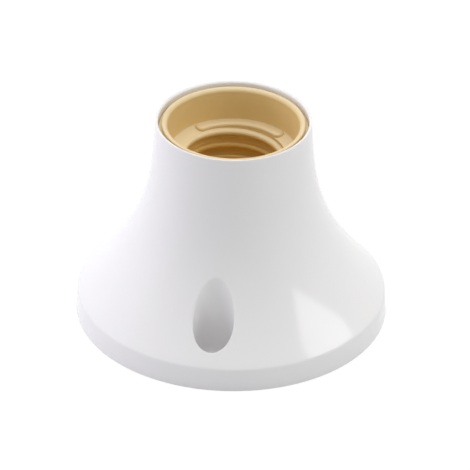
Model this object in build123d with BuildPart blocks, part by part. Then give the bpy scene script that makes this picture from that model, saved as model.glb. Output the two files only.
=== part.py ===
from build123d import *
import os
from math import cos, radians, sin, tan

os.makedirs("parts", exist_ok=True)

# Surface-mounting lamp holder for a 27 mm Edison screw cap. Sizes are millimetres.
# The base stands on z = 0, the lamp's axis is +Z and the two fixing screws lie on the Y axis.

# Shell: a glossy white bell, open underneath
base_radius = 40.0
rim_height = 6.1
rim_draft = 0.4
mouth_radius = 19.85
total_height = 55.6
shell_wall = 2.2
skirt_pull_in = 18.3
skirt_pull_up = 20.3
neck_pull_out = 1.2
neck_pull_down = 18.2
rim_edge_chamfer = 0.3
level_tolerance = 0.01
lip_edge_chamfer = 0.25
lip_bore_radius = 19.07
lip_recess_depth = 5.0
guide_clearance = 0.15
guide_length = 8.0

# Pockets for the two fixing screws
fixing_radius = 31.8
pocket_radius = 5.0
pocket_wall = 1.8
pocket_floor = 2.5
fixing_hole_radius = 2.25

# Liner: heat-resistant cream moulding with the screw thread
liner_drop = 0.76
collar_radius = 18.2
collar_mouth_radius = 16.95
collar_foot_radius = 16.3
collar_depth = 8.14
collar_floor = 2.8
collar_inner_chamfer = 0.4
collar_outer_chamfer = 0.25
ledge_fall = 1.0
pad_mid_radius = 15.75
pad_width = 2.0
pad_height = 0.6
pad_half_angle = 49.0

# Edison screw thread, 7 turns to the inch, right-handed and rounded
thread_pitch = 25.4 / 7
thread_crest_radius = 12.2
thread_root_radius = 13.35
thread_round = 1.0
crest_flats = 4
flank_angle = 55.0
thread_length = 16.5
thread_phase = 165.0
root_bury = 0.5
seam_angle = 160.0
sleeve_wall = 1.85
smooth_bore_radius = 12.0
smooth_bore_length = 5.7

# Flange of the liner, contact base under it and the two screws that hold both
flange_radius = 16.5
flange_thickness = 2.5
ear_radius = 3.0
core_screw_pitch_radius = 19.5
core_screw_radius = 1.5
core_screw_length = 10.0
core_head_radius = 2.8
core_head_height = 2.0
core_hole_clearance = 0.2
core_boss_height = 12.0
core_pilot_depth = 7.0
thread_clearance = 0.05
core_head_chamfer = 0.9
core_tip_chamfer = 1.5
core_tip_run = 1.2
recess_width = 0.9
recess_depth = 1.0
recess_share = 0.75

# Contact base
base_ear_thickness = 3.0
well_radius = 13.6
well_depth = 3.5
well_floor = 2.5
terminal_block_width = 12.0
terminal_block_end = 22.5
barrier_height = 4.0
barrier_wall = 1.2
divider_length = 20.0

# Contacts, folded from phosphor-bronze strip
leaf_thickness = 0.5
leaf_width = 6.0
leaf_bend_radius = 0.8
foot_end = 10.6
rivet_offset = 7.5
centre_rise = 2.0
centre_pad_half = 2.8
centre_ramp = 2.2
stud_radius = 2.6
stud_height = 0.9
stud_dome = 0.4
stud_neck_radius = 1.2
stud_neck_clearance = 0.05
stud_peen_radius = 1.9
stud_peen_height = 0.5
side_leg_inner = 12.45
side_leg_height = 12.8
side_tip_height = 1.4
side_tip_lean = 0.45
slot_clearance = 0.3
slot_back_clearance = 0.85
slot_mouth = 1.5
slot_headroom = 1.0

# Terminals: brass plate, clamping washer, spring washer and screw
plate_thickness = 1.2
plate_width = 8.0
plate_inner_end = 4.4
plate_margin = 0.5
terminal_screw_offset = 18.0
terminal_screw_radius = 1.75
terminal_screw_length = 6.6
terminal_head_radius = 3.2
terminal_head_height = 2.2
terminal_tip_room = 1.2
terminal_head_chamfer = 0.45
terminal_tip_chamfer = 0.5
clamp_side = 7.6
clamp_thickness = 1.0
clamp_corner = 0.8
clamp_hole_clearance = 0.2
spring_radius = 3.0
spring_thickness = 0.9
spring_gap = 0.6
rivet_radius = 1.5
rivet_head_radius = 2.2
rivet_head_height = 0.6
rivet_bore_radius = 0.9
rivet_edge_chamfer = 0.3
rivet_clearance = 0.05

# Heights that follow from those sizes
rim_top_radius = base_radius - rim_draft
collar_top = total_height - liner_drop
collar_foot = collar_top - collar_depth
ledge_edge = collar_foot - ledge_fall
collar_bottom = ledge_edge - collar_floor + ledge_fall
thread_bottom = ledge_edge - thread_length
liner_bottom = thread_bottom - smooth_bore_length
flange_top = liner_bottom + flange_thickness
sleeve_radius = thread_root_radius + sleeve_wall
well_bottom = liner_bottom - well_depth
base_underside = well_bottom - well_floor
base_ear_bottom = liner_bottom - base_ear_thickness
guide_radius = collar_radius + guide_clearance
plate_underside = base_underside - plate_thickness
clamp_underside = plate_underside - clamp_thickness
terminal_seat = clamp_underside - spring_thickness
barrier_bottom = base_underside - barrier_height

# Flare of the bell's side, drawn at a depth below its outer face
def flare_at(depth):
    rim_run = Vector(skirt_pull_up, skirt_pull_in).normalized() * depth
    mouth_run = Vector(neck_pull_down, neck_pull_out).normalized() * depth
    return Bezier(
        (rim_top_radius - rim_run.X, rim_height - rim_run.Y),
        (rim_top_radius - skirt_pull_in - rim_run.X, rim_height + skirt_pull_up - rim_run.Y),
        (mouth_radius + neck_pull_out - mouth_run.X, total_height - neck_pull_down),
        (mouth_radius - mouth_run.X, total_height),
    )


# Outline that ends inside the bell's wall, for what stands up to the wall from below
with BuildSketch(Plane.XZ) as wall_middle:
    with BuildLine():
        flare = flare_at(shell_wall / 2)
        Polyline(flare @ 1, (0, total_height), (0, 0), (base_radius - shell_wall / 2, 0), flare @ 0)
    make_face()

# Posts and bosses inside the bell, which end inside its wall
with BuildPart() as inner_posts:
    with BuildSketch(Plane.XY):
        with PolarLocations(fixing_radius, 2, start_angle=90):
            Circle(pocket_radius + pocket_wall)
    extrude(amount=total_height)
    with BuildSketch(Plane.XY.offset(flange_top)):
        with PolarLocations(core_screw_pitch_radius, 2):
            Circle(ear_radius)
    extrude(amount=core_boss_height)
    revolve(wall_middle.sketch, axis=Axis.Z, mode=Mode.INTERSECT)

# Shell: bell wall of even thickness, mouth recess, guide for the collar, screw pockets and bosses
with BuildPart() as shell:
    with BuildSketch(Plane.XZ):
        with BuildLine():
            outer_flare = flare_at(0)
            inner_flare = flare_at(shell_wall)
            Line(outer_flare @ 1, inner_flare @ 1)
            Polyline(inner_flare @ 0, (base_radius - shell_wall, 0), (base_radius, 0), outer_flare @ 0)
        make_face()
    revolve(axis=Axis.Z)
    add(inner_posts.part)
    with BuildSketch(Plane.XY.offset(total_height)):
        Circle(guide_radius)
    extrude(amount=-lip_recess_depth - guide_length, mode=Mode.SUBTRACT)
    with BuildSketch(Plane.XY.offset(total_height)):
        Circle(lip_bore_radius)
    extrude(amount=-lip_recess_depth, mode=Mode.SUBTRACT)
    chamfer(edges().group_by(Axis.Z)[-1], length=lip_edge_chamfer)
    rim_top = edges().filter_by_position(
        Axis.Z, rim_height - level_tolerance, rim_height + level_tolerance
    )
    chamfer(rim_top.sort_by(Edge.length)[-1], length=rim_edge_chamfer)
    with BuildSketch(Plane.XY.offset(pocket_floor)):
        with PolarLocations(fixing_radius, 2, start_angle=90):
            Circle(pocket_radius)
    extrude(amount=total_height, mode=Mode.SUBTRACT)
    with BuildSketch(Plane.XY):
        with PolarLocations(fixing_radius, 2, start_angle=90):
            Circle(fixing_hole_radius)
    extrude(amount=pocket_floor, mode=Mode.SUBTRACT)
    with BuildSketch(Plane.XY.offset(flange_top)):
        with PolarLocations(core_screw_pitch_radius, 2):
            Circle(core_screw_radius + thread_clearance)
    extrude(amount=core_pilot_depth, mode=Mode.SUBTRACT)
shell.part.label = "shell"
export_step(shell.part, "parts/shell.step")

# Slot in the liner's wall, behind which the leg of the side contact springs back
slot_back = side_leg_inner + leaf_thickness + slot_back_clearance
slot_front = thread_crest_radius - slot_mouth
slot_height = side_leg_height - well_depth + slot_headroom
with BuildSketch(Plane.XY.offset(liner_bottom)) as contact_slot:
    with Locations((0, (slot_front + slot_back) / 2)):
        Rectangle(leaf_width + 2 * slot_clearance, slot_back - slot_front)

# Ridge of the Edison thread: a rounded crest of narrow flats on straight flanks, run along a
# helix whose crest meets the ledge at the angle thread_phase, and trimmed flat at both ends
crest_centre = thread_crest_radius + thread_round
flank_start = crest_centre - thread_round * cos(radians(flank_angle))
flank_half = thread_round * sin(radians(flank_angle))
bury_radius = thread_root_radius + root_bury
bury_half = flank_half + (bury_radius - flank_start) / tan(radians(flank_angle))
turns_below = int(thread_length / thread_pitch) + 2
helix_turns = turns_below + 2
helix_base = ledge_edge - (turns_below + thread_phase / 360) * thread_pitch
with BuildLine() as thread_helix:
    Helix(thread_pitch, helix_turns * thread_pitch, crest_centre, center=(0, 0, helix_base))
crest_angles = [radians(flank_angle) * (1 - 2 * k / crest_flats) for k in range(crest_flats + 1)]
crest_points = [
    (crest_centre - thread_round * cos(angle), thread_round * sin(angle)) for angle in crest_angles
]
with BuildSketch(Plane((0, 0, helix_base), x_dir=(1, 0, 0), z_dir=(0, -1, 0))) as ridge_profile:
    with BuildLine():
        crest = Polyline(crest_points)
        Polyline(crest @ 1, (bury_radius, -bury_half), (bury_radius, bury_half), crest @ 0)
    make_face()
with BuildPart() as thread_ridge:
    sweep(ridge_profile.sketch, path=thread_helix.line, is_frenet=True)
    with BuildSketch(Plane.XY.offset(thread_bottom)):
        Circle(sleeve_radius)
    extrude(amount=thread_length, mode=Mode.INTERSECT)

# Liner: collar, sloping ledge with two arc pads, threaded sleeve and eared flange. Its outline
# stands at seam_angle, so that the seam of the turned walls is clear of the helix's start
with BuildPart() as socket_liner:
    with BuildSketch(Plane.XZ.rotated((0, 0, seam_angle))):
        with BuildLine():
            Polyline(
                (smooth_bore_radius, liner_bottom),
                (smooth_bore_radius, thread_bottom),
                (thread_root_radius, thread_bottom),
                (thread_root_radius, ledge_edge),
                (collar_foot_radius, collar_foot),
                (collar_mouth_radius, collar_top),
                (collar_radius, collar_top),
                (collar_radius, collar_bottom),
                (sleeve_radius, collar_bottom),
                (sleeve_radius, flange_top),
                (flange_radius, flange_top),
                (flange_radius, liner_bottom),
                close=True,
            )
        make_face()
    revolve(axis=Axis.Z)
    top_rims = edges().group_by(Axis.Z)[-1].sort_by(Edge.length)
    chamfer(top_rims[0], length=collar_inner_chamfer)
    chamfer(top_rims[-1], length=collar_outer_chamfer)
    with BuildSketch(Plane.XY.offset(ledge_edge)):
        with PolarLocations(0, 2, start_angle=90):
            SlotArc(
                CenterArc((0, 0), pad_mid_radius, -pad_half_angle, 2 * pad_half_angle),
                pad_width,
            )
    extrude(amount=ledge_fall + pad_height)
    with BuildSketch(Plane.XY.offset(liner_bottom)):
        SlotCenterToCenter(2 * core_screw_pitch_radius, 2 * ear_radius)
        Circle(flange_radius - ear_radius, mode=Mode.SUBTRACT)
        with PolarLocations(core_screw_pitch_radius, 2):
            Circle(core_screw_radius + core_hole_clearance, mode=Mode.SUBTRACT)
    extrude(amount=flange_thickness)
    add(thread_ridge.part)
    extrude(contact_slot.sketch, amount=slot_height, mode=Mode.SUBTRACT)
socket_liner.part.label = "socket_liner"
export_step(socket_liner.part, "parts/socket_liner.step")

# Contact base: insulating cup under the liner, with two terminal blocks and their barriers
with BuildPart() as contact_base:
    with BuildSketch(Plane.XY.offset(base_underside)):
        Circle(flange_radius)
        Rectangle(terminal_block_width, 2 * terminal_block_end)
    extrude(amount=liner_bottom - base_underside)
    with BuildSketch(Plane.XY.offset(base_ear_bottom)):
        SlotCenterToCenter(2 * core_screw_pitch_radius, 2 * ear_radius)
    extrude(amount=base_ear_thickness)
    with BuildSketch(Plane.XY.offset(barrier_bottom)) as barriers:
        Rectangle(divider_length, barrier_wall)
        with GridLocations(terminal_block_width - barrier_wall, 0, 2, 1):
            Rectangle(barrier_wall, 2 * terminal_block_end)
    extrude(amount=barrier_height)
    with BuildSketch(Plane.XY.offset(well_bottom)):
        Circle(well_radius)
    extrude(amount=well_depth, mode=Mode.SUBTRACT)
    with BuildSketch(Plane.XY.offset(base_underside)):
        with PolarLocations(rivet_offset, 2, start_angle=90):
            Circle(rivet_radius + rivet_clearance)
    extrude(amount=well_floor, mode=Mode.SUBTRACT)
    with BuildSketch(Plane.XY.offset(base_ear_bottom)):
        with PolarLocations(core_screw_pitch_radius, 2):
            Circle(core_screw_radius + core_hole_clearance)
    extrude(amount=base_ear_thickness, mode=Mode.SUBTRACT)
    tip_hole_depth = terminal_seat + terminal_screw_length + terminal_tip_room - base_underside
    with BuildSketch(Plane.XY.offset(base_underside)):
        with PolarLocations(terminal_screw_offset, 2, start_angle=90):
            Circle(terminal_screw_radius + clamp_hole_clearance)
    extrude(amount=tip_hole_depth, mode=Mode.SUBTRACT)
contact_base.part.label = "contact_base"
export_step(contact_base.part, "parts/contact_base.step")

# Centre contact: one strip, riveted at its foot, rising to a flat pad under the stud
pad_underside = well_bottom + centre_rise
with BuildPart() as centre_contact:
    with BuildSketch(Plane.YZ):
        with BuildLine():
            strip = FilletPolyline(
                (-foot_end, well_bottom),
                (-centre_pad_half - centre_ramp, well_bottom),
                (-centre_pad_half, pad_underside),
                (centre_pad_half, pad_underside),
                radius=leaf_bend_radius,
            )
            offset(strip, amount=leaf_thickness, side=Side.LEFT, closed=True)
        make_face()
    extrude(amount=leaf_width / 2, both=True)
    with BuildSketch(Plane.XY.offset(well_bottom)):
        with Locations((0, -rivet_offset)):
            Circle(rivet_radius + rivet_clearance)
        Circle(stud_neck_radius + stud_neck_clearance)
    extrude(amount=centre_rise + leaf_thickness, mode=Mode.SUBTRACT)
centre_contact.part.label = "centre_contact"
export_step(centre_contact.part, "parts/centre_contact.step")

# Contact stud: domed head on top of the strip, neck through it and a peened end below
stud_seat = pad_underside + leaf_thickness
stud_top = stud_seat + stud_height
with BuildPart() as centre_contact_stud:
    with BuildSketch(Plane.XZ):
        with BuildLine():
            dome = TangentArc(
                (0, stud_top), (stud_radius, stud_top - stud_dome), tangent=(1, 0)
            )
            Polyline(
                dome @ 1,
                (stud_radius, stud_seat),
                (stud_neck_radius, stud_seat),
                (stud_neck_radius, pad_underside),
                (stud_peen_radius, pad_underside),
                (stud_peen_radius, pad_underside - stud_peen_height),
                (0, pad_underside - stud_peen_height),
                dome @ 0,
            )
        make_face()
    revolve(axis=Axis.Z)
centre_contact_stud.part.label = "centre_contact_stud"
export_step(centre_contact_stud.part, "parts/centre_contact_stud.step")

# Side contact: one strip, riveted at its foot, with a leg standing in the liner's slot
with BuildPart() as side_contact:
    with BuildSketch(Plane.YZ):
        with BuildLine():
            angle_strip = FilletPolyline(
                (plate_inner_end, well_bottom + leaf_thickness),
                (side_leg_inner, well_bottom + leaf_thickness),
                (side_leg_inner, well_bottom + side_leg_height - side_tip_height),
                (side_leg_inner + side_tip_lean, well_bottom + side_leg_height),
                radius=leaf_thickness,
            )
            offset(angle_strip, amount=leaf_thickness, side=Side.RIGHT, closed=True)
        make_face()
    extrude(amount=leaf_width / 2, both=True)
    with BuildSketch(Plane.XY.offset(well_bottom)):
        with Locations((0, rivet_offset)):
            Circle(rivet_radius + rivet_clearance)
    extrude(amount=leaf_thickness, mode=Mode.SUBTRACT)
side_contact.part.label = "side_contact"
export_step(side_contact.part, "parts/side_contact.step")

# The live side lies towards -Y under the centre contact, the neutral side towards +Y
terminal_sides = {"live": -1, "neutral": 1}
rivet_names = {"live": "centre_contact_rivet", "neutral": "side_contact_rivet"}
plate_outer_end = terminal_block_end - plate_margin
for side_name, side in terminal_sides.items():
    screw_place = (0, side * terminal_screw_offset)
    rivet_place = (0, side * rivet_offset)

    # Brass terminal plate, tapped for its screw
    with BuildPart() as terminal:
        with BuildSketch(Plane.XY.offset(plate_underside)):
            with Locations((0, side * (plate_inner_end + plate_outer_end) / 2)):
                RectangleRounded(plate_width, plate_outer_end - plate_inner_end, clamp_corner)
            with Locations(screw_place):
                Circle(terminal_screw_radius + thread_clearance, mode=Mode.SUBTRACT)
            with Locations(rivet_place):
                Circle(rivet_radius + rivet_clearance, mode=Mode.SUBTRACT)
        extrude(amount=plate_thickness)
    terminal.part.label = side_name + "_terminal"
    export_step(terminal.part, "parts/" + side_name + "_terminal.step")

    # Square clamping washer
    with BuildPart() as clamp_washer:
        with BuildSketch(Plane.XY.offset(clamp_underside)):
            with Locations(screw_place):
                RectangleRounded(clamp_side, clamp_side, clamp_corner)
                Circle(terminal_screw_radius + clamp_hole_clearance, mode=Mode.SUBTRACT)
        extrude(amount=clamp_thickness)
    clamp_washer.part.label = side_name + "_clamp_washer"
    export_step(clamp_washer.part, "parts/" + side_name + "_clamp_washer.step")

    # Split spring washer
    with BuildPart() as spring_washer:
        with BuildSketch(Plane.XY.offset(terminal_seat)):
            with Locations(screw_place):
                Circle(spring_radius)
                Circle(terminal_screw_radius + clamp_hole_clearance, mode=Mode.SUBTRACT)
            with Locations((spring_radius / 2, side * terminal_screw_offset)):
                Rectangle(spring_radius + spring_gap, spring_gap, mode=Mode.SUBTRACT)
        extrude(amount=spring_thickness)
    spring_washer.part.label = side_name + "_spring_washer"
    export_step(spring_washer.part, "parts/" + side_name + "_spring_washer.step")

    # Terminal screw, head downwards, with a crossed recess
    with BuildPart() as terminal_screw:
        with BuildSketch(Plane.XY.offset(terminal_seat)):
            with Locations(screw_place):
                Circle(terminal_head_radius)
        extrude(amount=-terminal_head_height)
        chamfer(edges().group_by(Axis.Z)[0], length=terminal_head_chamfer)
        with BuildSketch(Plane.XY.offset(terminal_seat)):
            with Locations(screw_place):
                Circle(terminal_screw_radius)
        extrude(amount=terminal_screw_length)
        chamfer(edges().group_by(Axis.Z)[-1], length=terminal_tip_chamfer)
        recess_length = 2 * terminal_head_radius * recess_share
        with BuildSketch(Plane.XY.offset(terminal_seat - terminal_head_height)):
            with Locations(screw_place):
                Rectangle(recess_length, recess_width)
                Rectangle(recess_width, recess_length)
        extrude(amount=recess_depth, mode=Mode.SUBTRACT)
    terminal_screw.part.label = side_name + "_terminal_screw"
    export_step(terminal_screw.part, "parts/" + side_name + "_terminal_screw.step")

    # Tubular rivet through strip, base and plate
    with BuildPart() as rivet:
        with BuildSketch(Plane.XY.offset(plate_underside)):
            with Locations(rivet_place):
                Circle(rivet_radius)
        extrude(amount=well_bottom + leaf_thickness - plate_underside)
        with BuildSketch(Plane.XY.offset(well_bottom + leaf_thickness)):
            with Locations(rivet_place):
                Circle(rivet_head_radius)
        extrude(amount=rivet_head_height)
        with BuildSketch(Plane.XY.offset(plate_underside)):
            with Locations(rivet_place):
                Circle(rivet_head_radius)
        extrude(amount=-rivet_head_height)
        chamfer(edges().group_by(Axis.Z)[-1], length=rivet_edge_chamfer)
        chamfer(edges().group_by(Axis.Z)[0], length=rivet_edge_chamfer)
        with BuildSketch(Plane.XY.offset(plate_underside - rivet_head_height)):
            with Locations(rivet_place):
                Circle(rivet_bore_radius)
        extrude(amount=plate_thickness + rivet_head_height, mode=Mode.SUBTRACT)
    rivet.part.label = rivet_names[side_name]
    export_step(rivet.part, "parts/" + rivet_names[side_name] + ".step")

# Two self-tapping screws hold base and liner up against the shell's bosses
for side_name, side in {"left": -1, "right": 1}.items():
    core_place = (side * core_screw_pitch_radius, 0)
    with BuildPart() as core_screw:
        with BuildSketch(Plane.XY.offset(base_ear_bottom)):
            with Locations(core_place):
                Circle(core_head_radius)
        extrude(amount=-core_head_height)
        chamfer(edges().group_by(Axis.Z)[0], length=core_head_chamfer)
        with BuildSketch(Plane.XY.offset(base_ear_bottom)):
            with Locations(core_place):
                Circle(core_screw_radius)
        extrude(amount=core_screw_length)
        chamfer(edges().group_by(Axis.Z)[-1], length=core_tip_chamfer, length2=core_tip_run)
        recess_length = 2 * core_head_radius * recess_share
        with BuildSketch(Plane.XY.offset(base_ear_bottom - core_head_height)):
            with Locations(core_place):
                Rectangle(recess_length, recess_width)
                Rectangle(recess_width, recess_length)
        extrude(amount=recess_depth, mode=Mode.SUBTRACT)
    core_screw.part.label = side_name + "_core_screw"
    export_step(core_screw.part, "parts/" + side_name + "_core_screw.step")
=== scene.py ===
from math import cos, pi, radians, sin

import bmesh
import bpy
from mathutils import Matrix, Quaternion, Vector


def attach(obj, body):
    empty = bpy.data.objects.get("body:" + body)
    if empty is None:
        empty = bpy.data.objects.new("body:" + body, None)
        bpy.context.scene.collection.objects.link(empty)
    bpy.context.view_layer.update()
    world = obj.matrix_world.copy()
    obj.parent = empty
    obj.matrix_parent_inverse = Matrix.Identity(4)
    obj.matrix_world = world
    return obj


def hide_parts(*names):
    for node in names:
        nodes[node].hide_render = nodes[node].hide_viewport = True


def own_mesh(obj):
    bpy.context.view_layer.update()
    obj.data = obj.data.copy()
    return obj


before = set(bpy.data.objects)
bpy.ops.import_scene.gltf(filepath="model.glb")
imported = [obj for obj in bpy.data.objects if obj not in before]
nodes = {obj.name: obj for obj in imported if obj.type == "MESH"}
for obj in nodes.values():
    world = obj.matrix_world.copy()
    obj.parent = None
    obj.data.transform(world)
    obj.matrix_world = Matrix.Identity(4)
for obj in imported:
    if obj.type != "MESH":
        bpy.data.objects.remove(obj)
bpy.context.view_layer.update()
scene = bpy.context.scene
scene.view_settings.view_transform = "Standard"

# The table and the camera. The holder stands on a plain white table and is seen from the front,
# 32 degrees above the table top and 8 degrees to the right, through a long lens 1.19 m away.
MM = 0.001


def hex_colour(text):
    """sRGB hex to the linear colour that a shader takes."""
    parts = [int(text[i:i + 2], 16) / 255 for i in (1, 3, 5)]
    return [p / 12.92 if p <= 0.04045 else ((p + 0.055) / 1.055) ** 2.4 for p in parts] + [1.0]


def add_node(tree, kind, sockets=None, **settings):
    """One node with its settings, and its sockets given a value or linked to another's output."""
    made = tree.nodes.new(kind)
    for name, value in settings.items():
        setattr(made, name, value)
    for name, value in (sockets or {}).items():
        if isinstance(value, bpy.types.NodeSocket):
            tree.links.new(value, made.inputs[name])
        else:
            made.inputs[name].default_value = value
    return made


def start_material(name):
    """An empty material's tree and its output, ready for a shader."""
    material = bpy.data.materials.new(name)
    material.use_nodes = True
    material.node_tree.nodes.clear()
    output = material.node_tree.nodes.new("ShaderNodeOutputMaterial")
    return material, material.node_tree, output


def direct_view(tree):
    """1 for what the camera sees, also in a gloss or through glass, and 0 for what lights."""
    path = add_node(tree, "ShaderNodeLightPath")
    seen = path.outputs["Is Camera Ray"]
    for ray in ("Is Glossy Ray", "Is Transmission Ray"):
        seen = add_node(
            tree, "ShaderNodeMath", {0: seen, 1: path.outputs[ray]}, operation="MAXIMUM"
        ).outputs[0]
    return seen


aim = Vector((0, 0, 28.3 * MM))
distance = 1194 * MM
elevation, azimuth, roll = radians(31.93), radians(8.0), radians(0.79)
toward_camera = Vector(
    (sin(azimuth) * cos(elevation), -cos(azimuth) * cos(elevation), sin(elevation))
)
camera = bpy.data.objects.new("camera", bpy.data.cameras.new("camera"))
scene.collection.objects.link(camera)
camera.data.sensor_width = 36.0
camera.data.lens = 358.0
camera.data.shift_x = 0.0055
camera.data.shift_y = -0.0494
camera.data.clip_start, camera.data.clip_end = 0.05, 20.0
camera.rotation_mode = "QUATERNION"
camera.location = aim + toward_camera * distance
camera.rotation_quaternion = (-toward_camera).to_track_quat("-Z", "Y") @ Quaternion((0, 0, 1), roll)
scene.camera = camera

table_mesh = bmesh.new()
bmesh.ops.create_grid(table_mesh, x_segments=1, y_segments=1, size=3.0)
table = bpy.data.objects.new("table", bpy.data.meshes.new("table"))
table_mesh.to_mesh(table.data)
table_mesh.free()
scene.collection.objects.link(table)

# white paper laid on the table: its own white shows to the camera, and the shadow stays in it
paper, tree, output = start_material("matt_white_paper")
lit_paper = add_node(tree, "ShaderNodeBsdfDiffuse", {"Color": hex_colour("#E2E2E5")})
shadow_paper = add_node(tree, "ShaderNodeBsdfDiffuse", {"Color": hex_colour("#6A6A6A")})
white_paper = add_node(tree, "ShaderNodeEmission", {"Color": hex_colour("#FFFFFF"), "Strength": 0.88})
shown_paper = add_node(
    tree, "ShaderNodeAddShader", {0: shadow_paper.outputs[0], 1: white_paper.outputs[0]}
)
paper_mix = add_node(
    tree,
    "ShaderNodeMixShader",
    {"Fac": direct_view(tree), 1: lit_paper.outputs[0], 2: shown_paper.outputs[0]},
)
tree.links.new(paper_mix.outputs[0], output.inputs["Surface"])
table.data.materials.append(paper)

# The light: a dim, even white tent, soft panels at the left and above, two weak ones at the right
# and in front, and a small bright window at the right that shows in the gloss of the flare.
world = bpy.data.worlds.new("light_tent")
scene.world = world
world.use_nodes = True
tree = world.node_tree
tree.nodes.clear()
tent = add_node(tree, "ShaderNodeBackground", {"Color": hex_colour("#FAF9F5"), "Strength": 0.36})
backdrop = add_node(tree, "ShaderNodeBackground", {"Color": hex_colour("#FFFFFF"), "Strength": 1.0})
tent_mix = add_node(
    tree,
    "ShaderNodeMixShader",
    {"Fac": direct_view(tree), 1: tent.outputs[0], 2: backdrop.outputs[0]},
)
tent_output = tree.nodes.new("ShaderNodeOutputWorld")
tree.links.new(tent_mix.outputs[0], tent_output.inputs["Surface"])


def soft_panel(name, side, height, reach, width, tall, radiance, colour, glossy=False):
    """A rectangular lamp that faces the holder. side and height are its bearing from the holder
    in degrees, 0 towards the camera's side and 90 to the right; reach is its distance in metres."""
    lamp = bpy.data.objects.new(name, bpy.data.lights.new(name, "AREA"))
    lamp.data.shape = "RECTANGLE"
    lamp.data.size, lamp.data.size_y = width, tall
    lamp.data.energy = radiance * pi * width * tall
    lamp.data.color = hex_colour(colour)[:3]
    lamp.visible_glossy = glossy
    side, height = radians(side), radians(height)
    bearing = Vector((sin(side) * cos(height), -cos(side) * cos(height), sin(height)))
    lamp.location = aim + bearing * reach
    lamp.rotation_mode = "QUATERNION"
    lamp.rotation_quaternion = (-bearing).to_track_quat("-Z", "Y")
    scene.collection.objects.link(lamp)


soft_panel("left_panel", -96, 18, 1.0, 0.9, 0.8, 2.5, "#F3F1FF")
soft_panel("right_panel", 104, 26, 1.0, 0.9, 0.8, 0.35, "#FFFDF8")
soft_panel("front_panel", -8, 14, 1.0, 0.9, 0.5, 0.4, "#FFFFFF")
soft_panel("top_panel", 180, 82, 1.0, 0.9, 0.9, 2.5, "#FFFFFF")
soft_panel("window", 88, 30, 0.8, 0.48, 0.24, 3.0, "#FFFFFF", glossy=True)

# The shell: a bell moulded in white urea, open underneath. Its wall is 2.2 mm, the screw pockets
# and screw bosses are part of the moulding, and its edges are only slightly rounded.


def round_off(solid, geom, radius, affect="VERTICES"):
    """Rounds corners of an outline, or with affect EDGES the edges of a solid, radius in mm."""
    bmesh.ops.bevel(
        solid,
        geom=geom,
        offset=radius * MM,
        offset_type="OFFSET",
        segments=4,
        profile=0.5,
        affect=affect,
        material=-1,
    )


def spin_outline(corners, steps, rounded=None):
    """Turns an outline of (radius, height) in mm fully about the lamp's axis. rounded gives
    corners their edge radius in mm, and an edge that lies on the axis is left out."""
    solid = bmesh.new()
    dots = [solid.verts.new((r * MM, 0, z * MM)) for r, z in corners]
    for i in range(len(dots)):
        if corners[i - 1][0] > 0 or corners[i][0] > 0:
            solid.edges.new((dots[i - 1], dots[i]))
    for radius, which in (rounded or {}).items():
        round_off(solid, [dots[i] for i in which], radius)
    bmesh.ops.spin(
        solid,
        geom=solid.verts[:] + solid.edges[:],
        cent=(0, 0, 0),
        axis=(0, 0, 1),
        angle=2 * pi,
        steps=steps,
        use_merge=True,
    )
    bmesh.ops.remove_doubles(solid, verts=solid.verts, dist=1e-7)
    bmesh.ops.recalc_face_normals(solid, faces=solid.faces)
    return solid


def make_piece(solid, name):
    """The mesh as an object of the scene."""
    piece = bpy.data.objects.new(name, bpy.data.meshes.new(name))
    solid.to_mesh(piece.data)
    solid.free()
    scene.collection.objects.link(piece)
    return piece


def round_bar(radius, low, high, x=0.0, y=0.0, steps=64):
    """A closed round bar along Z, in mm."""
    solid = bmesh.new()
    bmesh.ops.create_cone(
        solid,
        cap_ends=True,
        segments=steps,
        radius1=radius * MM,
        radius2=radius * MM,
        depth=(high - low) * MM,
        matrix=Matrix.Translation((x * MM, y * MM, (low + high) / 2 * MM)),
    )
    return solid


def block(size, centre):
    """A closed block, in mm."""
    solid = bmesh.new()
    place = Matrix.Translation([c * MM for c in centre])
    stretch = Matrix.Diagonal([s * MM for s in size] + [1.0])
    bmesh.ops.create_cube(solid, size=1.0, matrix=place @ stretch)
    return solid


def shape(piece, operation, *solids):
    """Joins solids to a piece, or cuts them from it, and keeps the result as its mesh."""
    for solid in solids:
        other = make_piece(solid, "cutter")
        cut = piece.modifiers.new("cut", "BOOLEAN")
        cut.operation, cut.solver, cut.object = operation, "EXACT", other
        bpy.context.view_layer.update()
        evaluated = piece.evaluated_get(bpy.context.evaluated_depsgraph_get())
        done = bpy.data.meshes.new_from_object(evaluated)
        piece.modifiers.clear()
        piece.data = done
        bpy.data.objects.remove(other)


def smooth_by_angle(piece, degrees):
    """Smooth shading that stops at edges sharper than the angle."""
    piece.data.shade_smooth()
    piece.data.set_sharp_from_angle(angle=radians(degrees))


base_radius, rim_height, rim_top_radius = 40.0, 6.1, 39.6
mouth_radius, total_height, shell_wall = 19.85, 55.6, 2.2
rim_pull, neck_pull = Vector((-18.3, 20.3)), Vector((1.2, -18.2))
flare_steps = 40


def flare_points(depth):
    """Points down the bell's side from mouth to rim, at a depth below its outer face."""
    rim_in = Vector((-rim_pull.y, rim_pull.x)).normalized() * depth
    mouth_in = Vector((neck_pull.y, -neck_pull.x)).normalized() * depth
    ends = (
        Vector((mouth_radius, total_height)) + mouth_in,
        Vector((mouth_radius, total_height)) + neck_pull + mouth_in,
        Vector((rim_top_radius, rim_height)) + rim_pull + rim_in,
        Vector((rim_top_radius, rim_height)) + rim_in,
    )
    points = []
    for i in range(flare_steps + 1):
        t = i / flare_steps
        weights = ((1 - t) ** 3, 3 * t * (1 - t) ** 2, 3 * t * t * (1 - t), t ** 3)
        points.append(sum((p * w for p, w in zip(ends, weights)), Vector((0, 0))))
    return [(p.x, p.y) for p in points]


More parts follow.
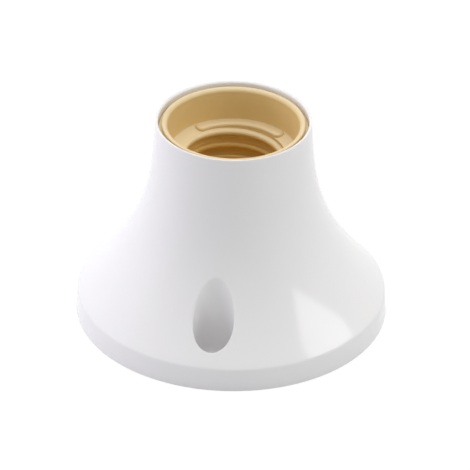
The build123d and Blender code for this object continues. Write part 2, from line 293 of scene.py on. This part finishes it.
lip_radius, lip_depth, guide_radius, guide_end = 19.07, 5.0, 18.35, 42.6
outside = flare_points(0)
inside = [p for p in flare_points(shell_wall) if p[1] < guide_end and p[0] > guide_radius][::-1]
bell_outline = (
    outside
    + [(base_radius, 0), (base_radius - shell_wall, 0)]
    + inside
    + [
        (guide_radius, inside[-1][1]),
        (guide_radius, total_height - lip_depth),
        (lip_radius, total_height - lip_depth),
        (lip_radius, total_height),
    ]
)
# the lip's inner edge is the roundest, then the rim's upper edge; the lip's outer edge and the
# rim's lower edge are nearly sharp
lip_inner, rim_upper, rim_lower = len(bell_outline) - 1, len(outside) - 1, len(outside)
bell_steps = 256
shell = make_piece(
    spin_outline(bell_outline, bell_steps, {0.56: [lip_inner], 0.45: [rim_upper], 0.2: [0, rim_lower]}),
    "shell_moulding",
)

pocket_place, pocket_radius, pocket_wall, pocket_floor = 31.8, 5.0, 1.8, 2.5
pocket_ease, pocket_post_top, fixing_hole_radius = 0.55, 50.0, 2.25
core_screw_place, boss_radius, boss_low, boss_high = 19.5, 3.0, 26.0, 38.0
pilot_radius, pilot_low, pilot_high = 1.55, 25.0, 33.0
post_limit = flare_points(shell_wall / 2)
post_form = [(0.0, total_height)] + post_limit + [(base_radius - shell_wall / 2, 0), (0.0, 0.0)]


def bell_height(radius):
    """Height of the bell's outer face at a distance from the lamp's axis, in mm."""
    for (r0, z0), (r1, z1) in zip(outside, outside[1:]):
        if r0 <= radius <= r1:
            return z0 + (z1 - z0) * (radius - r0) / (r1 - r0)


def pocket_wall_radius(height):
    """The pocket's wall has 3 degrees of draft, so that it leaves the mould."""
    draft, low_radius, low_height = 0.05, 4.87, 8.6
    return low_radius + draft * (height - low_height)


def pocket_cutter(side):
    """The room of a screw pocket: a round bar that widens where it leaves the bell's face, so
    that the edge there comes out eased all round."""
    ease_steps, floor_steps, floor_round = 5, 5, 2.6
    above_all, near_axis, probe, face_share = 60.0, 0.1, 0.1, 1.05
    rings = floor_steps + ease_steps + 3
    side_points = [(pocket_radius, 1 + k) for k in range(rings)]
    bar = spin_outline([(0, 0)] + side_points + [(0, rings)], 128)
    # turned a little, so that none of its edges lies on an edge of the bell
    off_edges = Matrix.Rotation(radians(1.4), 3, "Z")
    bmesh.ops.rotate(bar, verts=bar.verts, cent=(0, 0, 0), matrix=off_edges)
    for v in bar.verts:
        ring = round(v.co.z / MM) - 1
        across = Vector((v.co.x, v.co.y)) / MM
        centre = Vector((0, side * pocket_place))
        if across.length < near_axis:
            v.co = (0, centre.y * MM, (pocket_floor if ring < 0 else above_all) * MM)
            continue
        out = across.normalized()
        mouth = pocket_radius
        for _ in range(4):
            height = bell_height((centre + out * mouth).length)
            mouth = pocket_wall_radius(height)
        slope = bell_height((centre + out * (mouth + probe)).length) - height
        wall_end = Vector((pocket_wall_radius(height - pocket_ease), height - pocket_ease))
        corner = Vector((mouth, height))
        face_end = corner + Vector((probe, slope)).normalized() * pocket_ease * face_share
        if ring <= floor_steps:
            t = radians(90 * ring / floor_steps)
            level = pocket_floor + floor_round * (1 - cos(t))
            reach = pocket_wall_radius(level) - floor_round * (1 - sin(t))
        elif ring <= floor_steps + ease_steps + 1:
            t = (ring - 1 - floor_steps) / ease_steps
            reach, level = wall_end * (1 - t) ** 2 + corner * 2 * t * (1 - t) + face_end * t * t
        else:
            reach, level = face_end.x, above_all
        v.co = (out.x * reach * MM, (out.y * reach + centre.y) * MM, level * MM)
    bmesh.ops.recalc_face_normals(bar, faces=bar.faces)
    return bar


for side in (-1, 1):
    for post in (
        round_bar(pocket_radius + pocket_wall, 0, pocket_post_top, y=side * pocket_place, steps=96),
        round_bar(boss_radius, boss_low, boss_high, x=side * core_screw_place),
    ):
        post_piece = make_piece(post, "post")
        shape(post_piece, "INTERSECT", spin_outline(post_form, bell_steps))
        post_solid = bmesh.new()
        post_solid.from_mesh(post_piece.data)
        bpy.data.objects.remove(post_piece)
        shape(shell, "UNION", post_solid)
    shape(
        shell,
        "DIFFERENCE",
        pocket_cutter(side),
        round_bar(fixing_hole_radius, -1, pocket_floor + 1, y=side * pocket_place),
        round_bar(pilot_radius, pilot_low, pilot_high, x=side * core_screw_place),
    )
smooth_by_angle(shell, 28)
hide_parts("shell")
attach(shell, "housing")

# gloss-moulded urea: an even white with a polished skin that waves very slightly
gloss_white, tree, output = start_material("gloss_moulded_white_urea")
place = add_node(tree, "ShaderNodeTexCoord").outputs["Object"]
cloud = add_node(tree, "ShaderNodeTexNoise", {"Vector": place, "Scale": 1 / (14 * MM), "Detail": 3.0})
# the places of a Mix node's two colours and of its mixed colour
mix_a, mix_b, mixed = 6, 7, 2
white = add_node(tree, "ShaderNodeMix", {"Factor": cloud.outputs[0]}, data_type="RGBA")
white.inputs[mix_a].default_value = hex_colour("#EDECEE")
white.inputs[mix_b].default_value = hex_colour("#F1F0F0")
polish = add_node(tree, "ShaderNodeTexNoise", {"Vector": place, "Scale": 1 / (5 * MM), "Detail": 4.0})
gloss = add_node(
    tree, "ShaderNodeMapRange", {"Value": polish.outputs[0], "To Min": 0.09, "To Max": 0.17}
)
ripple = add_node(tree, "ShaderNodeTexNoise", {"Vector": place, "Scale": 1 / (8 * MM), "Detail": 1.0})
skin = add_node(
    tree, "ShaderNodeBump", {"Height": ripple.outputs[0], "Strength": 0.25, "Distance": 0.02 * MM}
)
body = add_node(
    tree,
    "ShaderNodeBsdfPrincipled",
    {
        "Base Color": white.outputs[mixed],
        "Roughness": gloss.outputs[0],
        "Normal": skin.outputs[0],
        "IOR": 1.5,
    },
)
tree.links.new(body.outputs[0], output.inputs["Surface"])
shell.data.materials.clear()
shell.data.materials.append(gloss_white)

# The liner: a heat-resistant moulding in cream urea, with the collar, the sloping ledge, two raised
# arcs on it and the lamp thread, whose rounded bead a threaded core pin leaves as it unscrews.
liner_outline = [
    (12.0, 23.5), (12.0, 45.45), (13.35, 45.45), (16.35, 46.25), (16.75, 54.84), (18.2, 54.84),
    (18.2, 53.5), (19.0, 53.5), (19.0, 50.8), (18.2, 50.8), (18.2, 43.9), (15.2, 43.9), (15.2, 26.0),
    (16.5, 26.0), (16.5, 23.5),
]
ledge_edge, collar_foot, collar_inner, collar_outer, liner_steps = 2, 3, 4, 5, 192
liner_rounded = {1.0: [collar_inner], 0.3: [collar_foot, collar_outer], 0.2: [ledge_edge]}
liner = make_piece(spin_outline(liner_outline, liner_steps, liner_rounded), "liner_moulding")

# the core pin: one wave of its surface, spun up round the axis and cut off level at both ends
thread_pitch, crest_radius, root_radius = 25.4 / 7, 12.1, 13.35
bead_tip, bead_foot, bead_round, root_round = 0.7, 0.95, 0.64, 0.25
ledge_height, thread_bottom, crest_angle = 45.45, 29.2, 220.0
turn_steps, thread_turns, turns_to_ledge = 120, 7, 6
crest_height = ledge_height - (turns_to_ledge + crest_angle / 360) * thread_pitch
core = bmesh.new()
wave = [
    core.verts.new((radius * MM, 0, (crest_height + height) * MM))
    for radius, height in (
        (crest_radius, 0),
        (crest_radius, bead_tip),
        (root_radius, bead_foot),
        (root_radius, thread_pitch - bead_foot),
        (crest_radius, thread_pitch - bead_tip),
        (crest_radius, thread_pitch),
    )
]
for low, high in zip(wave, wave[1:]):
    core.edges.new((low, high))
for corners, radius in (((1, 4), bead_round), ((2, 3), root_round)):
    round_off(core, [wave[i] for i in corners], radius)
bmesh.ops.spin(
    core,
    geom=core.verts[:] + core.edges[:],
    cent=(0, 0, 0),
    axis=(0, 0, 1),
    dvec=(0, 0, thread_pitch / turn_steps * MM),
    angle=2 * pi * thread_turns,
    steps=turn_steps * thread_turns,
)
bmesh.ops.remove_doubles(core, verts=core.verts, dist=2e-6)
core_top = ledge_height + 1.0
for height, below in ((thread_bottom, True), (core_top, False)):
    bmesh.ops.bisect_plane(
        core,
        geom=core.verts[:] + core.edges[:] + core.faces[:],
        plane_co=(0, 0, height * MM),
        plane_no=(0, 0, 1),
        clear_inner=below,
        clear_outer=not below,
    )
bmesh.ops.holes_fill(core, edges=[e for e in core.edges if e.is_boundary])
bmesh.ops.recalc_face_normals(core, faces=core.faces)
shape(liner, "DIFFERENCE", core)

# the ears for the core screws stop 0.01 mm short of the foot's faces, and their round ends 0.02 mm,
# because faces in one plane would come out doubled; the slot is for the side contact's leg
ear_size, ear_place, ear_middle = (6.5, 5.98, 2.48), 16.25, 24.75
ear_end_low, ear_end_high = 23.52, 25.98
ear_hole_radius, ear_hole_low, ear_hole_high = 1.7, 23.0, 27.0
slot_size, slot_middle = (6.6, 3.1, 11.3), (0, 12.25, 28.15)
for side in (-1, 1):
    shape(
        liner,
        "UNION",
        block(ear_size, (side * ear_place, 0, ear_middle)),
        round_bar(boss_radius, ear_end_low, ear_end_high, x=side * core_screw_place),
    )
    ear_hole = round_bar(ear_hole_radius, ear_hole_low, ear_hole_high, x=side * core_screw_place)
    shape(liner, "DIFFERENCE", ear_hole)
shape(liner, "DIFFERENCE", block(slot_size, slot_middle))

# the raised arcs: an outline drawn by four spins and raised. Their tops are level, while the ledge
# under them slopes, and the upper edge is rounded
pad_radius, pad_half_width, pad_half_angle = 15.0, 1.6, 41.5
pad_base, pad_top, pad_edge = 45.0, 46.5, 0.7
side_steps, end_steps = 60, 16
for side in (90, -90):
    pad = bmesh.new()
    corner = pad.verts.new(((pad_radius + pad_half_width) * MM, 0, pad_base * MM))
    far_end = Matrix.Rotation(radians(2 * pad_half_angle), 3, "Z") @ Vector((pad_radius * MM, 0, 0))
    for centre, turn, steps in (
        ((0, 0, 0), 2 * pad_half_angle, side_steps),
        (far_end, 180, end_steps),
        ((0, 0, 0), -2 * pad_half_angle, side_steps),
        ((pad_radius * MM, 0, 0), 180, end_steps),
    ):
        arc = bmesh.ops.spin(
            pad, geom=[corner], cent=centre, axis=(0, 0, 1), angle=radians(turn), steps=steps
        )
        corner = [v for v in arc["geom_last"] if isinstance(v, bmesh.types.BMVert)][0]
    bmesh.ops.remove_doubles(pad, verts=pad.verts, dist=1e-6)
    plan = bmesh.ops.contextual_create(pad, geom=pad.edges[:])["faces"]
    raised = bmesh.ops.extrude_face_region(pad, geom=plan)["geom"]
    top = [f for f in raised if isinstance(f, bmesh.types.BMFace)]
    bmesh.ops.translate(pad, verts=top[0].verts[:], vec=(0, 0, (pad_top - pad_base) * MM))
    round_off(pad, top[0].edges[:], pad_edge, affect="EDGES")
    bmesh.ops.recalc_face_normals(pad, faces=pad.faces)
    into_place = Matrix.Rotation(radians(side - pad_half_angle), 3, "Z")
    bmesh.ops.rotate(pad, verts=pad.verts, cent=(0, 0, 0), matrix=into_place)
    shape(liner, "UNION", pad)

# cutting and joining leave slivers of under 0.002 mm, which are dissolved
solid = bmesh.new()
solid.from_mesh(liner.data)
bmesh.ops.dissolve_degenerate(solid, edges=solid.edges, dist=2e-6)
bmesh.ops.remove_doubles(solid, verts=solid.verts, dist=1e-6)
solid.to_mesh(liner.data)
solid.free()
smooth_by_angle(liner, 30)
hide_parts("socket_liner")
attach(liner, "housing")

# cream urea: satin from the mould and slightly mottled. Faces turned up are painted paler, a painted
# highlight of the light from above, and the thread is painted browner, painted shade down in it. Its
# grain is drawn 0.6 mm wide, coarser than the real one, so that it shows
# painted shade: the heights over which the cream turns browner down in the thread
thread_shade_starts, thread_shade_full = 44.4, 41.8
cream_urea, tree, output = start_material("satin_moulded_cream_urea")
place = add_node(tree, "ShaderNodeTexCoord").outputs["Object"]
mottle = add_node(tree, "ShaderNodeTexNoise", {"Vector": place, "Scale": 1 / (3 * MM), "Detail": 4.0})
cream = add_node(tree, "ShaderNodeMix", {"Factor": mottle.outputs[0]}, data_type="RGBA")
cream.inputs[mix_a].default_value = hex_colour("#DCBE7D")
cream.inputs[mix_b].default_value = hex_colour("#E2C68A")
surface = add_node(tree, "ShaderNodeNewGeometry")
facing = add_node(tree, "ShaderNodeSeparateXYZ", {0: surface.outputs["Normal"]})
upward = add_node(
    tree, "ShaderNodeMapRange", {"Value": facing.outputs["Z"], "From Min": 0.1, "From Max": 0.9}
)
# painted highlight: faces turned up are mixed towards a paler cream, standing in for the light from above
painted_top_light = add_node(tree, "ShaderNodeMix", {"Factor": upward.outputs[0]}, data_type="RGBA")
tree.links.new(cream.outputs[mixed], painted_top_light.inputs[mix_a])
painted_top_light.inputs[mix_b].default_value = hex_colour("#E2CEA6")
depth = add_node(
    tree,
    "ShaderNodeMapRange",
    {
        "Value": add_node(tree, "ShaderNodeSeparateXYZ", {0: place}).outputs["Z"],
        "From Min": thread_shade_starts * MM,
        "From Max": thread_shade_full * MM,
    },
)
# painted shade: down in the thread the cream is mixed towards a browner, deeper colour
painted_thread_shade = add_node(tree, "ShaderNodeMix", {"Factor": depth.outputs[0]}, data_type="RGBA")
tree.links.new(painted_top_light.outputs[mixed], painted_thread_shade.inputs[mix_a])
painted_thread_shade.inputs[mix_b].default_value = hex_colour("#E5BF6D")
sheen = add_node(tree, "ShaderNodeMapRange", {"Value": mottle.outputs[0], "To Min": 0.32, "To Max": 0.45})
grain = add_node(tree, "ShaderNodeTexNoise", {"Vector": place, "Scale": 1 / (0.6 * MM), "Detail": 2.0})
skin = add_node(
    tree, "ShaderNodeBump", {"Height": grain.outputs[0], "Strength": 0.3, "Distance": 0.03 * MM}
)
body = add_node(
    tree,
    "ShaderNodeBsdfPrincipled",
    {
        "Base Color": painted_thread_shade.outputs[mixed],
        "Roughness": sheen.outputs[0],
        "Normal": skin.outputs[0],
        "IOR": 1.5,
    },
)
tree.links.new(body.outputs[0], output.inputs["Surface"])
liner.data.materials.clear()
liner.data.materials.append(cream_urea)


def finish_nodes(material, *names):
    """Gives carried-over CAD pieces their material."""
    for name in names:
        nodes[name].data.materials.clear()
        nodes[name].data.materials.append(material)


finish_nodes(cream_urea, "contact_base")

# The contact strips: phosphor bronze 0.5 mm thick, cut from rolled strip and bent. The centre
# strip arches up under the lamp's tip, and here keeps its arched shape, fixed with the housing.
centre_strip = make_piece(bmesh.new(), "centre_contact_strip")
strip = bmesh.new()
strip.from_mesh(nodes["centre_contact"].data)
bmesh.ops.remove_doubles(strip, verts=strip.verts, dist=1e-6)
bmesh.ops.recalc_face_normals(strip, faces=strip.faces)
strip.to_mesh(centre_strip.data)
strip.free()
smooth_by_angle(centre_strip, 30)
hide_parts("centre_contact")
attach(centre_strip, "housing")
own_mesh(centre_strip)


def start_metal(name, dull, bright, streak_mm, smooth, rough, dent):
    """A metal whose colour and polish change along fine streaks: streak_mm gives the size of the
    streaks along x, y and z, smooth and rough the polish, and dent the depth of the marks in mm."""
    metal, tree, output = start_material(name)
    place = add_node(tree, "ShaderNodeTexCoord").outputs["Object"]
    scale = [1 / (s * MM) for s in streak_mm]
    streaks = add_node(tree, "ShaderNodeMapping", {"Vector": place, "Scale": scale})
    lines = add_node(
        tree, "ShaderNodeTexNoise", {"Vector": streaks.outputs[0], "Scale": 1.0, "Detail": 4.0}
    )
    cloud = add_node(tree, "ShaderNodeTexNoise", {"Vector": place, "Scale": 1 / (2.5 * MM), "Detail": 3.0})
    tint = add_node(tree, "ShaderNodeMix", {"Factor": cloud.outputs[0]}, data_type="RGBA")
    tint.inputs[mix_a].default_value = hex_colour(dull)
    tint.inputs[mix_b].default_value = hex_colour(bright)
    polish = add_node(
        tree, "ShaderNodeMapRange", {"Value": lines.outputs[0], "To Min": smooth, "To Max": rough}
    )
    marks = add_node(
        tree, "ShaderNodeBump", {"Height": lines.outputs[0], "Strength": 0.5, "Distance": dent * MM}
    )
    body = add_node(
        tree,
        "ShaderNodeBsdfPrincipled",
        {
            "Base Color": tint.outputs[mixed],
            "Metallic": 1.0,
            "Roughness": polish.outputs[0],
            "Normal": marks.outputs[0],
        },
    )
    tree.links.new(body.outputs[0], output.inputs["Surface"])
    return metal


# rolled phosphor bronze: reddish gold, satin, with rolling lines along the strip
rolled_bronze = start_metal(
    "rolled_phosphor_bronze", "#B98554", "#D6A678", (3.0, 0.08, 3.0), 0.24, 0.42, 0.01
)
centre_strip.data.materials.clear()
centre_strip.data.materials.append(rolled_bronze)
finish_nodes(rolled_bronze, "side_contact")

# The stud, the rivets and the terminal plates: brass, turned or stamped, and left bare. The stud
# is riveted into the centre strip.

# turned brass: yellow, fairly bright, with fine tool marks round the axis
turned_brass = start_metal("turned_brass", "#C59D4B", "#E2C274", (2.0, 2.0, 0.06), 0.18, 0.34, 0.008)
finish_nodes(turned_brass, "centre_contact_stud", "centre_contact_rivet", "side_contact_rivet")

# stamped brass plate: a little duller, with faint marks along the sheet
stamped_brass = start_metal("stamped_brass", "#BC9446", "#D9B769", (0.09, 2.5, 2.5), 0.26, 0.44, 0.012)
finish_nodes(stamped_brass, "live_terminal", "neutral_terminal")

# The screws and washers: steel with a bright zinc plating, for the wires and for the two long
# screws that go up from the base into the shell's bosses.

# zinc-plated steel: cold light grey, a little cloudy
zinc_plated_steel = start_metal(
    "zinc_plated_steel", "#A9AEB1", "#CDD1D3", (0.5, 0.5, 0.5), 0.22, 0.38, 0.006
)
finish_nodes(
    zinc_plated_steel,
    "live_clamp_washer",
    "neutral_clamp_washer",
    "live_spring_washer",
    "neutral_spring_washer",
    "live_terminal_screw",
    "neutral_terminal_screw",
    "left_core_screw",
    "right_core_screw",
)
